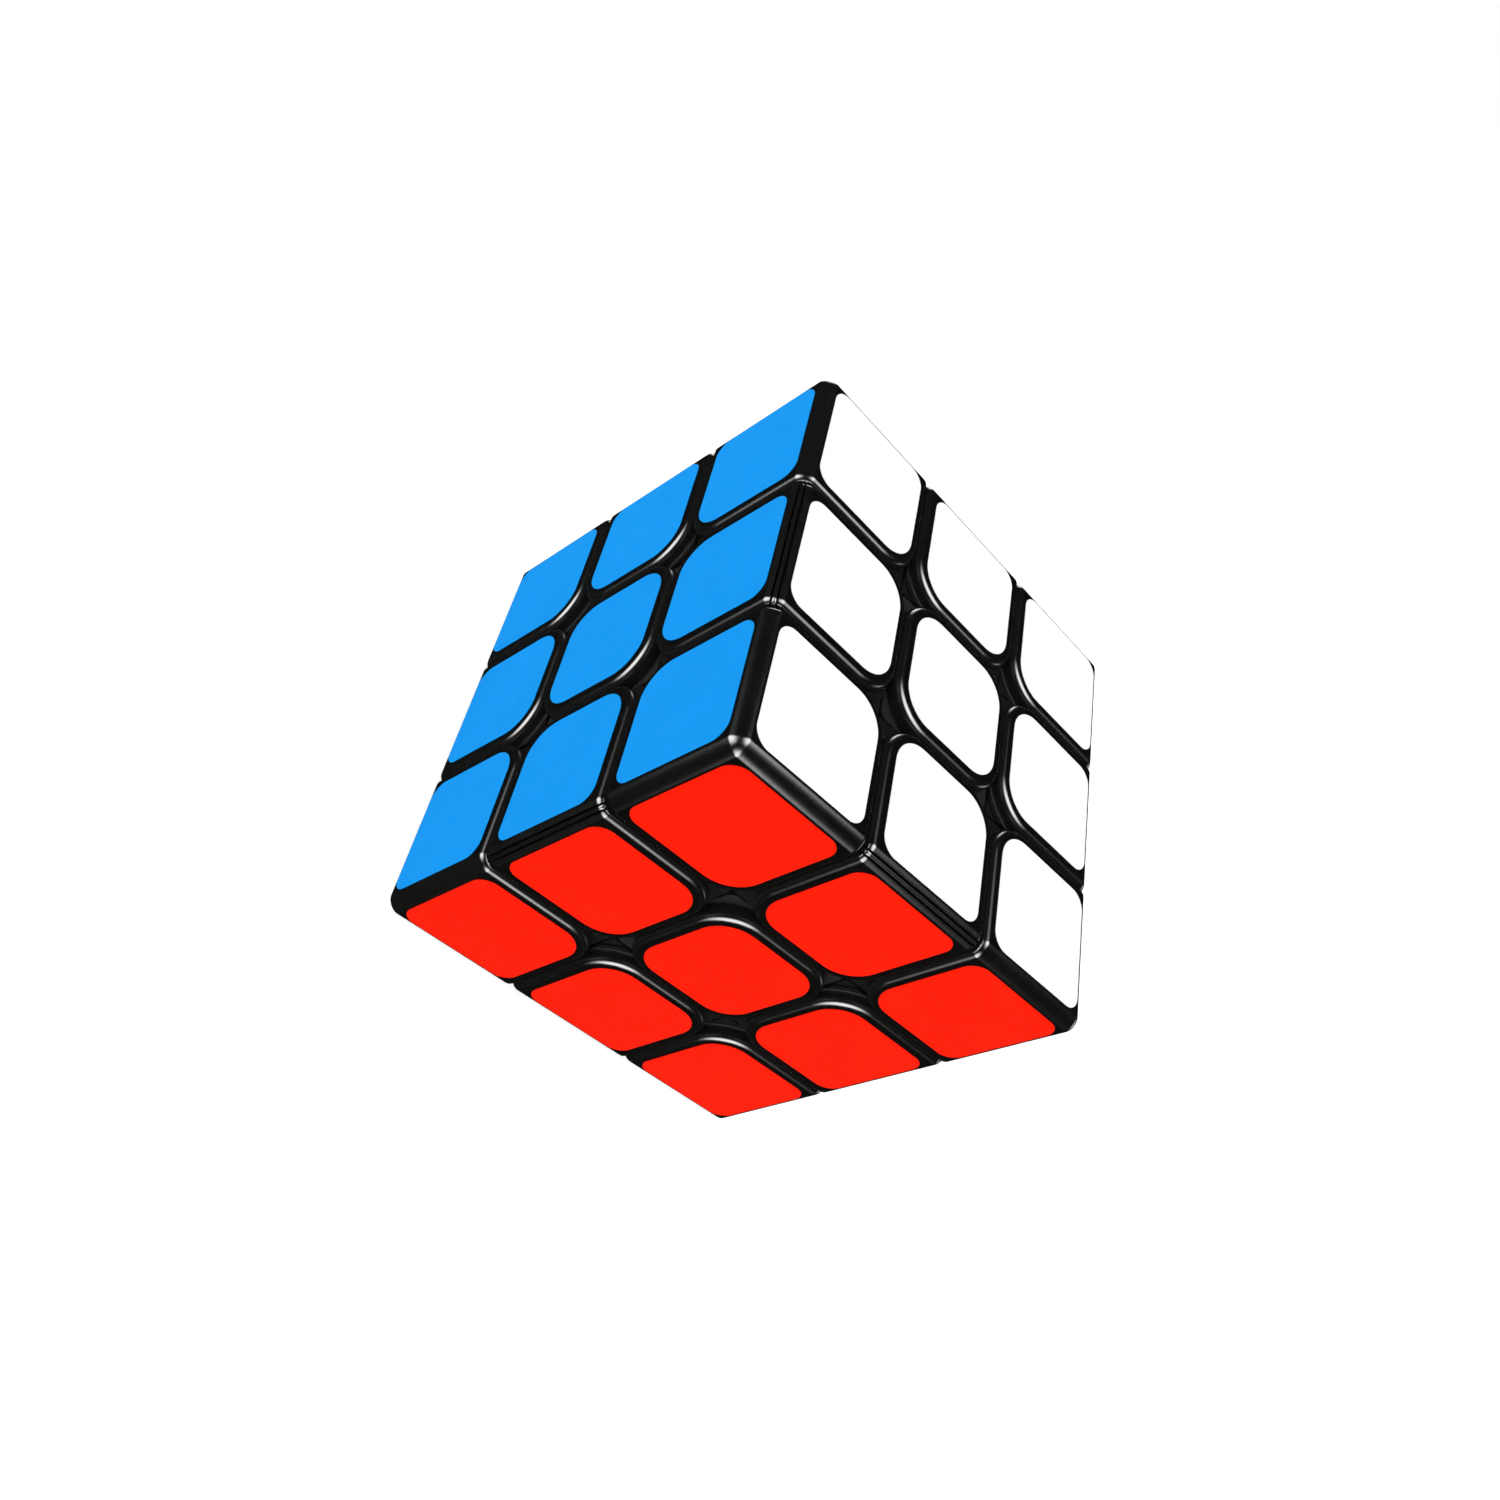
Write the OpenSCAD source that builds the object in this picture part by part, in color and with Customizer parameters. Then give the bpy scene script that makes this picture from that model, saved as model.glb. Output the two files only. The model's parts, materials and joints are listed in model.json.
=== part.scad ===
// Twisty puzzle cube, 3 x 3 x 3 speed cube with a screw, spring and washer core.
// Frame: origin at the centre of the core, where all six turning axes cross.
// +Z is the white face, -Y the blue face, +X the red face. Millimetres.

/* [Overall] */
// Width of the whole cube over its stickers
cube_w = 56; // [50:0.1:70]
// Working gap between neighbouring pieces in the grooves
groove = 0.3; // [0.2:0.02:0.6]

/* [Outer shape] */
// Radius of a piece where four pieces meet on a face
junction_r = 5.3; // [3:0.1:6]
// Depth of the recess where four pieces meet
recess = 1.78; // [1.5:0.02:5]
// Radius of a piece below the recess floor
shelf_r = 1; // [0.5:0.1:2]
// Leg of the chamfer along the outside edges of the cube
edge_leg = 1.2; // [0.6:0.05:2]
// Leg of the bevel on the lips along the grooves
lip_leg = 0.45; // [0.3:0.05:0.9]
// How far the tip is taken off each corner of the cube
tip_cut = 0.35; // [0.1:0.05:0.8]

/* [Stickers] */
// Thickness of a sticker
sticker_t = 0.1; // [0.08:0.01:0.4]
// Bare plastic between the groove's middle and a sticker
sticker_in = 1.55; // [1.1:0.05:2]
// Bare plastic between the outside edge of the cube and a sticker
sticker_out = 1.78; // [1.4:0.02:2.4]
// Sticker corner radius beside a recess
sticker_r = 3.9; // [2:0.1:5]
// Sticker corner radius beside an outside edge
sticker_r_out = 2; // [0.6:0.1:2.5]

/* [Mechanism] */
// Radius of the ball-shaped track that the outer blocks ride on
track_r = 20; // [19:0.1:21]
// Inner radius of the hooked feet under the track
foot_r = 16.2; // [15.5:0.1:17]
// Half width of a centre piece at the feet
foot_h = 6.4; // [5.8:0.1:7]
// Wall thickness of the hollow shells towards the grooves
wall = 1.4; // [1.2:0.1:2]
// Wall thickness of the hollow shells under the stickers
face_wall = 1.5; // [1.4:0.1:2.4]
// Radius of the ball in the middle of the core
ball_r = 6.6; // [6:0.1:7.5]
// Radius of a core arm
arm_r = 3.6; // [3:0.1:4]
// Distance from the core centre to the end of an arm
arm_end = 9.5; // [9:0.1:10]

/* [Screws and springs] */
// Screw shank radius
screw_r = 1.2; // [1:0.05:1.4]
// Screw head radius
head_r = 2.7; // [2.2:0.05:2.9]
// Screw head height
head_t = 1.9; // [1.5:0.1:2.4]
// Mean radius of the spring coil
coil_r = 2.3; // [2:0.05:2.4]
// Spring wire radius
wire_r = 0.28; // [0.2:0.01:0.32]
// Number of turns in a spring
coil_turns = 5; // [4:1:7]

/* [Hidden] */
c = groove / 2;
pitch = cube_w / 3;
h = pitch / 2;
top = cube_w / 2;
plastic = top - sticker_t - 0.02;
shelf = plastic - recess;
far = top + 4;
fit = 0.05;
floor_z = arm_end + 3;
spring_z0 = floor_z + 0.2;
spring_z1 = spring_z0 + 5.8;
washer_z0 = spring_z1 + 0.06;
washer_t = 0.5;
head_z0 = washer_z0 + washer_t + 0.06;
pocket_r = 3.3;
wire_sides = 6;
coil_steps = 10;

plastic_col = [0.06, 0.06, 0.06];
steel_col = [0.75, 0.75, 0.78];
core_col = [0.85, 0.85, 0.82];
white_col = [0.95, 0.95, 0.95];
yellow_col = [0.98, 0.85, 0.05];
blue_col = [0.09, 0.59, 0.95];
green_col = [0.05, 0.62, 0.25];
red_col = [0.95, 0.14, 0.04];
orange_col = [0.98, 0.45, 0.05];

// ---- helpers -------------------------------------------------------------

// Rectangle whose four corners have their own radii, from lower left anticlockwise.
module rounded(x0, y0, x1, y1, ra, rb, rc, rd) {
    polygon([[x0 + ra, y0], [x1 - rb, y0], [x1, y0 + rb], [x1, y1 - rc],
        [x1 - rc, y1], [x0 + rd, y1], [x0, y1 - rd], [x0, y0 + ra]]);
    translate([x0 + ra, y0 + ra]) circle(r = ra, $fn = 64);
    translate([x1 - rb, y0 + rb]) circle(r = rb, $fn = 64);
    translate([x1 - rc, y1 - rc]) circle(r = rc, $fn = 64);
    translate([x0 + rd, y1 - rd]) circle(r = rd, $fn = 64);
}

module ball(r) {
    sphere(r = r, $fn = 96);
}

// Box between two opposite corners.
module span(p, q) {
    translate(p) cube(q - p);
}

// Three turns about the diagonal through a corner piece.
module thrice() {
    for (k = [0:2]) rotate(a = 120 * k, v = [1, 1, 1]) children();
}

// Half turn that swaps the two outer faces of an edge piece.
module twice() {
    for (k = [0:1]) rotate(a = 180 * k, v = [1, 0, 1]) children();
}

// Wedge that takes off the outside edge between the top and right faces.
module outside_wedge() {
    rotate([90, 0, 0])
        linear_extrude(height = 2 * far, center = true)
            polygon([[plastic - edge_leg, plastic], [plastic, plastic - edge_leg],
                [far, plastic - edge_leg], [far, far], [plastic - edge_leg, far]]);
}

// Takes the tip off the corner of the cube where the three bands meet.
module tip_plane() {
    reach = sqrt(3) * (plastic - edge_leg / 2) - tip_cut;
    rotate(a = acos(1 / sqrt(3)), v = [-1, 1, 0])
        translate([-5, -5, reach])
            cube([10, 10, 10]);
}

// Section of the cutter that shapes one rounded corner of a face: a straight
// side down to the recess floor with the lip bevelled.
module lip_section(r, reach) {
    polygon([[r - lip_leg, plastic], [r, plastic - lip_leg], [r, shelf], [reach, shelf],
        [reach, far], [r - lip_leg, far]]);
}

// Quarter-round cutter standing at one corner of a face, quadrant 0 to 3.
module corner_round(x, y, quadrant) {
    translate([x, y, 0])
        rotate([0, 0, 90 * quadrant])
            rotate_extrude(angle = 90, $fn = 96)
                lip_section(junction_r, junction_r * 1.5);
}

// Straight bevel along a lip: runs along +X from the origin, cuts towards -Y.
module lip_bevel(run) {
    rotate([90, 0, 90])
        linear_extrude(height = run)
            polygon([[lip_leg, plastic], [0, plastic - lip_leg], [-0.4, plastic - lip_leg],
                [-0.4, far], [lip_leg, far]]);
}

// ---- corner piece, drawn where x, y and z are all positive -----------------

// Hollow outer shell of a corner piece with its three rounded recess corners.
module corner_shell() {
    a = h + c;
    j = a + junction_r;
    w = a + wall;
    t = plastic - face_wall;
    difference() {
        span([a, a, a], [plastic, plastic, plastic]);
        ball(track_r + c + wall + fit);
        thrice() {
            corner_round(j, j, 2);
            translate([j, a, 0]) lip_bevel(far - j);
            mirror([1, -1, 0]) translate([j, a, 0]) lip_bevel(far - j);
            outside_wedge();
        }
        tip_plane();
        intersection_for (k = [0:2])
            rotate(a = 120 * k, v = [1, 1, 1])
                linear_extrude(height = t)
                    polygon([[w + 2, w], [t, w], [t, t], [w, t], [w, w + 2]]);
    }
}

// Foot, stalk and lid of a corner piece in one moulding: the lid closes the shell.
module corner_foot() {
    a = h + c;
    f = foot_h + c;
    big = track_r + 3;
    difference() {
        union() {
            intersection() {
                span([f, f, f], [big, big, big]);
                ball(track_r - c);
            }
            intersection() {
                span([a, a, a], [big, big, big]);
                ball(track_r + c + wall);
            }
        }
        ball(foot_r + c);
    }
}

module corner_piece() {
    color(plastic_col) {
        corner_shell();
        corner_foot();
    }
}

module corner_stickers() {
    thrice()
        translate([0, 0, top - sticker_t])
            linear_extrude(height = sticker_t)
                rounded(h + sticker_in, h + sticker_in, top - sticker_out, top - sticker_out,
                    sticker_r, sticker_r_out, sticker_r_out, sticker_r_out);
}

// ---- edge piece, drawn where x and z are positive and y crosses zero -------

// Both half shells of an edge piece as one body, before they are parted.
module edge_body() {
    a = h + c;
    b = h - c;
    j = a + junction_r;
    k = b - junction_r;
    w = a + wall;
    v = b - wall;
    t = plastic - face_wall;
    difference() {
        span([a, -b, a], [plastic, b, plastic]);
        ball(track_r + c + wall + fit);
        outside_wedge();
        twice() {
            corner_round(j, -k, 2);
            corner_round(j, k, 1);
            translate([j, -b, 0]) lip_bevel(far - j);
            mirror([0, 1, 0]) translate([j, -b, 0]) lip_bevel(far - j);
            mirror([1, -1, 0]) translate([-k, a, 0]) lip_bevel(2 * k);
        }
        intersection_for (s = [0:1])
            rotate(a = 180 * s, v = [1, 0, 1])
                translate([0, 0, 1])
                    linear_extrude(height = t - 1)
                        polygon([[w + 2, -v], [t, -v], [t, v], [w + 2, v], [w, v - 2], [w, 2 - v]]);
    }
}

// The half shells meet on the diagonal plane through the outside edge of the cube.
module edge_halves() {
    difference() {
        edge_body();
        rotate([0, -45, 0])
            translate([0, -far, -fit / 2])
                cube([2 * far, 2 * far, fit]);
    }
}

// Foot, stalk and lid of an edge piece in one moulding: the lid closes both halves.
module edge_foot() {
    a = h + c;
    b = h - c;
    f = foot_h + c;
    g = foot_h - c;
    big = track_r + 3;
    difference() {
        union() {
            intersection() {
                span([f, -g, f], [big, g, big]);
                ball(track_r - c);
            }
            intersection() {
                span([a, -g, a], [big, g, big]);
                ball(track_r + c);
            }
            intersection() {
                span([a, -b, a], [big, b, big]);
                difference() {
                    ball(track_r + c + wall);
                    ball(track_r + c);
                }
            }
        }
        ball(foot_r + c);
    }
}

module edge_piece() {
    color(plastic_col) {
        edge_halves();
        edge_foot();
    }
}

module edge_stickers() {
    s = h - sticker_in;
    twice()
        translate([0, 0, top - sticker_t])
            linear_extrude(height = sticker_t)
                rounded(h + sticker_in, -s, top - sticker_out, s,
                    sticker_r, sticker_r_out, sticker_r_out, sticker_r);
}

// ---- centre piece, drawn on the +Z axis ------------------------------------

// Hub: rides on the screw, with the foot plate, the stem and the screw pocket.
module centre_hub() {
    b = h - c;
    g = foot_h - c;
    difference() {
        union() {
            intersection() {
                span([-b, -b, h + c], [b, b, shelf]);
                difference() {
                    span([-far, -far, 0], [far, far, far]);
                    ball(track_r + c);
                }
            }
            intersection() {
                span([-g, -g, h + c], [g, g, track_r]);
                difference() {
                    ball(track_r + c + 0.5);
                    ball(foot_r + c);
                }
            }
            translate([0, 0, arm_end + 0.3])
                cylinder(r = pocket_r + 1.5, h = 9, $fn = 64);
        }
        translate([0, 0, floor_z]) cylinder(r = pocket_r, h = far, $fn = 64);
        translate([0, 0, 1]) cylinder(r = screw_r + 0.3, h = far, $fn = 48);
        for (k = [0:3])
            rotate([0, 0, 90 * k])
                translate([b, b, 0])
                    difference() {
                        translate([-shelf_r, -shelf_r, 0]) cube([3, 3, far]);
                        translate([-shelf_r, -shelf_r, 0]) cylinder(r = shelf_r, h = far, $fn = 32);
                    }
    }
}

// Cap: snaps into the pocket and carries the rounded face of the centre piece.
module centre_cap() {
    b = h - c;
    k = b - junction_r;
    difference() {
        union() {
            span([-b, -b, shelf + fit], [b, b, plastic]);
            translate([0, 0, shelf - 1.6])
                cylinder(r = pocket_r - fit, h = 3, $fn = 64);
        }
        translate([0, 0, shelf - 2])
            cylinder(r = pocket_r - 1, h = 3.2, $fn = 48);
        for (q = [0:3])
            rotate([0, 0, 90 * q]) {
                difference() {
                    corner_round(k, k, 0);
                    span([-far, -far, 0], [far, far, shelf + fit / 2]);
                }
                translate([-k, -b, 0]) lip_bevel(2 * k);
            }
    }
}

module centre_piece() {
    color(plastic_col) {
        centre_hub();
        centre_cap();
    }
}

module centre_sticker() {
    s = h - sticker_in;
    translate([0, 0, top - sticker_t])
        linear_extrude(height = sticker_t)
            rounded(-s, -s, s, s, sticker_r, sticker_r, sticker_r, sticker_r);
}

// ---- core and the tension set ----------------------------------------------

module on_right() {
    rotate([0, 90, 0]) children();
}

module on_left() {
    rotate([0, -90, 0]) children();
}

module on_back() {
    rotate([-90, 0, 0]) children();
}

module on_front() {
    rotate([90, 0, 0]) children();
}

module on_bottom() {
    rotate([180, 0, 0]) children();
}

module six_ways() {
    children();
    on_bottom() children();
    on_front() children();
    on_back() children();
    on_left() children();
    on_right() children();
}

module core() {
    color(core_col)
        difference() {
            union() {
                ball(ball_r);
                six_ways() cylinder(r = arm_r, h = arm_end, $fn = 64);
            }
            six_ways()
                translate([0, 0, 3.2])
                    cylinder(r = screw_r + 0.04, h = far, $fn = 48);
        }
}

module tension_screw() {
    difference() {
        union() {
            translate([0, 0, 3.6])
                cylinder(r = screw_r, h = head_z0 - 3.6 + 0.1, $fn = 48);
            translate([0, 0, head_z0]) cylinder(r = head_r, h = head_t, $fn = 64);
        }
        for (k = [0:1])
            rotate([0, 0, 90 * k])
                translate([-1.5, -0.25, head_z0 + head_t - 1.1])
                    cube([3, 0.5, 2]);
    }
}

module spring_washer() {
    translate([0, 0, washer_z0])
        difference() {
            cylinder(r = head_r + 0.1, h = washer_t, $fn = 64);
            translate([0, 0, -1]) cylinder(r = screw_r + 0.15, h = 3, $fn = 48);
        }
}

// Centre of the wire along the coil, u from 0 at the bottom to 1 at the top.
function wire_at(u) = [
    coil_r * cos(360 * coil_turns * u),
    coil_r * sin(360 * coil_turns * u),
    spring_z0 + wire_r + (spring_z1 - spring_z0 - 2 * wire_r) * u];

// Point on the wire's surface: w is the angle round the wire.
function skin_at(u, w) = wire_at(u) + wire_r * [
    cos(w) * cos(360 * coil_turns * u),
    cos(w) * sin(360 * coil_turns * u),
    sin(w)];

module tension_spring() {
    n = coil_turns * coil_steps;
    m = wire_sides;
    polyhedron(
        points = [for (i = [0:n]) for (j = [0:m - 1]) skin_at(i / n, 360 * j / m)],
        faces = concat(
            [[for (j = [0:m - 1]) j]],
            [[for (j = [0:m - 1]) n * m + m - 1 - j]],
            [for (i = [0:n - 1]) for (j = [0:m - 1])
                [i * m + j, (i + 1) * m + j, (i + 1) * m + (j + 1) % m]],
            [for (i = [0:n - 1]) for (j = [0:m - 1])
                [i * m + j, (i + 1) * m + (j + 1) % m, i * m + (j + 1) % m]]));
}

module tension_screws() {
    color(steel_col) six_ways() tension_screw();
}

module tension_springs() {
    color(steel_col) six_ways() tension_spring();
}

module spring_washers() {
    color(steel_col) six_ways() spring_washer();
}

// ---- places of the pieces --------------------------------------------------

// Top or bottom layer, turned about Z by quarter turns from the right-hand place.
module top_place(q) {
    rotate([0, 0, 90 * q]) children();
}

module bottom_place(q) {
    rotate([0, 0, 90 * q]) rotate([180, 0, 0]) children();
}

// Middle layer, from the back right-hand place.
module middle_place(q) {
    rotate([0, 0, 90 * q]) rotate([-90, 0, 0]) children();
}

// ---- nodes -----------------------------------------------------------------

module centre_top() {
    centre_piece();
}

module centre_bottom() {
    on_bottom() centre_piece();
}

module centre_front() {
    on_front() centre_piece();
}

module centre_back() {
    on_back() centre_piece();
}

module centre_left() {
    on_left() centre_piece();
}

module centre_right() {
    on_right() centre_piece();
}

module edge_top_front() {
    top_place(3) edge_piece();
}

module edge_top_back() {
    top_place(1) edge_piece();
}

module edge_top_left() {
    top_place(2) edge_piece();
}

module edge_top_right() {
    top_place(0) edge_piece();
}

module edge_bottom_front() {
    bottom_place(3) edge_piece();
}

module edge_bottom_back() {
    bottom_place(1) edge_piece();
}

module edge_bottom_left() {
    bottom_place(2) edge_piece();
}

module edge_bottom_right() {
    bottom_place(0) edge_piece();
}

module edge_front_left() {
    middle_place(2) edge_piece();
}

module edge_front_right() {
    middle_place(3) edge_piece();
}

module edge_back_left() {
    middle_place(1) edge_piece();
}

module edge_back_right() {
    middle_place(0) edge_piece();
}

module corner_top_front_right() {
    top_place(3) corner_piece();
}

module corner_top_front_left() {
    top_place(2) corner_piece();
}

module corner_top_back_right() {
    top_place(0) corner_piece();
}

module corner_top_back_left() {
    top_place(1) corner_piece();
}

module corner_bottom_front_right() {
    bottom_place(0) corner_piece();
}

module corner_bottom_front_left() {
    bottom_place(3) corner_piece();
}

module corner_bottom_back_right() {
    bottom_place(1) corner_piece();
}

module corner_bottom_back_left() {
    bottom_place(2) corner_piece();
}

module stickers_centre_top() {
    color(white_col) centre_sticker();
}

module stickers_centre_bottom() {
    color(yellow_col) on_bottom() centre_sticker();
}

module stickers_centre_front() {
    color(blue_col) on_front() centre_sticker();
}

module stickers_centre_back() {
    color(green_col) on_back() centre_sticker();
}

module stickers_centre_left() {
    color(orange_col) on_left() centre_sticker();
}

module stickers_centre_right() {
    color(red_col) on_right() centre_sticker();
}

module stickers_edge_top_front() {
    color(white_col) top_place(3) edge_stickers();
}

module stickers_edge_top_back() {
    color(white_col) top_place(1) edge_stickers();
}

module stickers_edge_top_left() {
    color(white_col) top_place(2) edge_stickers();
}

module stickers_edge_top_right() {
    color(white_col) top_place(0) edge_stickers();
}

module stickers_edge_bottom_front() {
    color(yellow_col) bottom_place(3) edge_stickers();
}

module stickers_edge_bottom_back() {
    color(yellow_col) bottom_place(1) edge_stickers();
}

module stickers_edge_bottom_left() {
    color(yellow_col) bottom_place(2) edge_stickers();
}

module stickers_edge_bottom_right() {
    color(yellow_col) bottom_place(0) edge_stickers();
}

module stickers_edge_front_left() {
    color(blue_col) middle_place(2) edge_stickers();
}

module stickers_edge_front_right() {
    color(blue_col) middle_place(3) edge_stickers();
}

module stickers_edge_back_left() {
    color(green_col) middle_place(1) edge_stickers();
}

module stickers_edge_back_right() {
    color(green_col) middle_place(0) edge_stickers();
}

module stickers_corner_top_front_right() {
    color(white_col) top_place(3) corner_stickers();
}

module stickers_corner_top_front_left() {
    color(white_col) top_place(2) corner_stickers();
}

module stickers_corner_top_back_right() {
    color(white_col) top_place(0) corner_stickers();
}

module stickers_corner_top_back_left() {
    color(white_col) top_place(1) corner_stickers();
}

module stickers_corner_bottom_front_right() {
    color(yellow_col) bottom_place(0) corner_stickers();
}

module stickers_corner_bottom_front_left() {
    color(yellow_col) bottom_place(3) corner_stickers();
}

module stickers_corner_bottom_back_right() {
    color(yellow_col) bottom_place(1) corner_stickers();
}

module stickers_corner_bottom_back_left() {
    color(yellow_col) bottom_place(2) corner_stickers();
}

core();
tension_screws();
tension_springs();
spring_washers();
centre_top();
centre_bottom();
centre_front();
centre_back();
centre_left();
centre_right();
edge_top_front();
edge_top_back();
edge_top_left();
edge_top_right();
edge_bottom_front();
edge_bottom_back();
edge_bottom_left();
edge_bottom_right();
edge_front_left();
edge_front_right();
edge_back_left();
edge_back_right();
corner_top_front_right();
corner_top_front_left();
corner_top_back_right();
corner_top_back_left();
corner_bottom_front_right();
corner_bottom_front_left();
corner_bottom_back_right();
corner_bottom_back_left();
stickers_centre_top();
stickers_centre_bottom();
stickers_centre_front();
stickers_centre_back();
stickers_centre_left();
stickers_centre_right();
stickers_edge_top_front();
stickers_edge_top_back();
stickers_edge_top_left();
stickers_edge_top_right();
stickers_edge_bottom_front();
stickers_edge_bottom_back();
stickers_edge_bottom_left();
stickers_edge_bottom_right();
stickers_edge_front_left();
stickers_edge_front_right();
stickers_edge_back_left();
stickers_edge_back_right();
stickers_corner_top_front_right();
stickers_corner_top_front_left();
stickers_corner_top_back_right();
stickers_corner_top_back_left();
stickers_corner_bottom_front_right();
stickers_corner_bottom_front_left();
stickers_corner_bottom_back_right();
stickers_corner_bottom_back_left();
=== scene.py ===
import json
import math

import bmesh
import bpy
from mathutils import Matrix, Quaternion, Vector

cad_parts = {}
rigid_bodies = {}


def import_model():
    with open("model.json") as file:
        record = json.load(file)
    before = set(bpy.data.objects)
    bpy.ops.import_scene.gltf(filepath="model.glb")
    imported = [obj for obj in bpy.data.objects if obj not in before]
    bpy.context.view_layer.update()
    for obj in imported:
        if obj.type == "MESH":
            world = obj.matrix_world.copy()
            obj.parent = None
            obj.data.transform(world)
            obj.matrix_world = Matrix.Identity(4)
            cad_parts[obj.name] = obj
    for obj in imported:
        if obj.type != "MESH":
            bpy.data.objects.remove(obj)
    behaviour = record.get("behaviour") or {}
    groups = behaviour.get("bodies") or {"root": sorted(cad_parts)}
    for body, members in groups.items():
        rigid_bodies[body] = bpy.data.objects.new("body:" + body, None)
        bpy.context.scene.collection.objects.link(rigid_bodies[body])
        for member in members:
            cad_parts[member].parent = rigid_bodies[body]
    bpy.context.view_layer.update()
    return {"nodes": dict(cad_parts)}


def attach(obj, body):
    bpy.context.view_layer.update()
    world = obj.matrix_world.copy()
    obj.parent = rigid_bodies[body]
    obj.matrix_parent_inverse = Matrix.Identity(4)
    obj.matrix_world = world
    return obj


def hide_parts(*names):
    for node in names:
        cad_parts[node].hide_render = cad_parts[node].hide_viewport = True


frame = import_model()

# ---------------------------------------------------------------- sizes, in millimetres
MM = 0.001
CUBE = 56.0                     # over the stickers
PITCH = CUBE / 3
GAP = 0.15                      # half the groove between two pieces
STICKER_T = 0.06                # thickness
STICKER_LIFT = 0.02             # the glue under a sticker
STICKER_W = 15.4                # width of a sheet
STICKER_OUT = 1.78              # from a sticker to the outside edge of the cube
STICKER_R = 3.9                 # sticker corners at the recesses
STICKER_R_OUT = 2.0             # sticker corners at the outside edges of the cube
STICKER_RIM = 0.03              # rounding of the upper rim
TOP = CUBE / 2
FACE = TOP - STICKER_T - STICKER_LIFT
RECESS = 1.82                   # depth of the recesses
SHELF = FACE - RECESS           # floor of the recess where pieces meet at their rounded corners
JUNCTION_R = 5.3                # the rounded corners themselves
LEDGE_W = 0.9                   # ledge round the foot of an edge piece's rounded corners
LEDGE_H = 0.25                  # its height over the recess floor
FOOT_R = 0.4                    # hollow fillet where the recess walls meet the floor
ROUND_W = 1.60                  # reach of the rounding along the outside edges of the cube
ROUND_P = 0.395                 # its profile: a little flatter in the middle than a true round (0.5)
LIP_R = 0.78                    # fillet of the lips along the grooves
LIP_ANGLE = 60                  # edges sharper than this are lips
LIP_ZONE = 1.0                  # if they lie this near the outer surface
CAP_LIFT = 0.05                 # underside of a cap over the recess floor, just clear of the hub
LID_R = 21.60                   # the ball that hollows the shells, just clear of the inner lids
SEAM_W = 0.70                   # distance between the two seam lines of an edge piece
SEAM_GAP = 0.12                 # width of a seam line
RIB_R = 0.27                    # rounding of the rib between them
RIB_DEPTH = 2.5                 # how far it goes down between the half shells
NEAR = PITCH / 2 + GAP          # where the outer pieces begin
REACH = PITCH / 2 - GAP         # half the width of the middle pieces
FAR = TOP + 6                   # well outside the cube
HUB_REACH = 15                  # hubs come nearer than this to the middle of the cube
FOOT_REACH = 18                 # and the feet of the edges and corners nearer than this

# how the black plastic shines: its specular level on rounded places, on flats and in the grooves
GLOSS = 0.5
FLAT_GLOSS = 0.03
GROOVE_GLOSS = 0.02
FLAT_FULL, FLAT_FADE = 4.0, 13.0        # degrees off square: dull up to the first, glossy from the second
GROOVE_TOP, GROOVE_DEEP = 0.18, 0.36    # depth in mm: glossy down to the first, dull from the second

scene = bpy.context.scene
work = bpy.data.collections.new("prototypes")
scene.collection.children.link(work)


# ---------------------------------------------------------------- mesh helpers
def mesh_object(name, verts, faces):
    mesh = bpy.data.meshes.new(name)
    mesh.from_pydata(verts, [], faces)
    mesh.update()
    obj = bpy.data.objects.new(name, mesh)
    work.objects.link(obj)
    return obj


def prism(name, outline, z0, z1, turn=None):
    """A prism over an anticlockwise outline, then turned by a matrix."""
    n = len(outline)
    verts = [Vector((x, y, z0)) for x, y in outline] + [Vector((x, y, z1)) for x, y in outline]
    faces = [tuple(reversed(range(n))), tuple(range(n, 2 * n))]
    faces += [(i, (i + 1) % n, n + (i + 1) % n, n + i) for i in range(n)]
    if turn is not None:
        verts = [turn @ v for v in verts]
    return mesh_object(name, verts, faces)


def block(name, lo, hi):
    return prism(name, [(lo[0], lo[1]), (hi[0], lo[1]), (hi[0], hi[1]), (lo[0], hi[1])], lo[2], hi[2])


def ball(name, radius):
    bm = bmesh.new()
    bmesh.ops.create_uvsphere(bm, u_segments=72, v_segments=36, radius=radius)
    mesh = bpy.data.meshes.new(name)
    bm.to_mesh(mesh)
    bm.free()
    obj = bpy.data.objects.new(name, mesh)
    work.objects.link(obj)
    return obj


def settle(obj):
    """Applies an object's modifiers and returns its new mesh."""
    deps = bpy.context.evaluated_depsgraph_get()
    done = obj.evaluated_get(deps)
    mesh = bpy.data.meshes.new_from_object(done, preserve_all_data_layers=True, depsgraph=deps)
    old = obj.data
    obj.modifiers.clear()
    obj.data = mesh
    bpy.data.meshes.remove(old)
    return mesh


def carve(obj, cutters):
    """Cuts each cutter out of obj and throws the cutters away."""
    for c in cutters:
        m = obj.modifiers.new("cut", "BOOLEAN")
        m.operation = "DIFFERENCE"
        m.solver = "EXACT"
        m.object = c
    settle(obj)
    for c in cutters:
        bpy.data.objects.remove(c)


def in_order(mesh):
    """Sorts the points and faces of a mesh, since the cutting leaves them in a different order each run."""
    points = [tuple(v.co) for v in mesh.vertices]
    order = sorted(range(len(points)), key=points.__getitem__)
    rank = {old: new for new, old in enumerate(order)}
    faces = []
    for face in mesh.polygons:
        loop = [rank[i] for i in face.vertices]
        first = loop.index(min(loop))
        faces.append(loop[first:] + loop[:first])
    mesh.clear_geometry()
    mesh.from_pydata([points[i] for i in order], [], sorted(faces))


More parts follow.
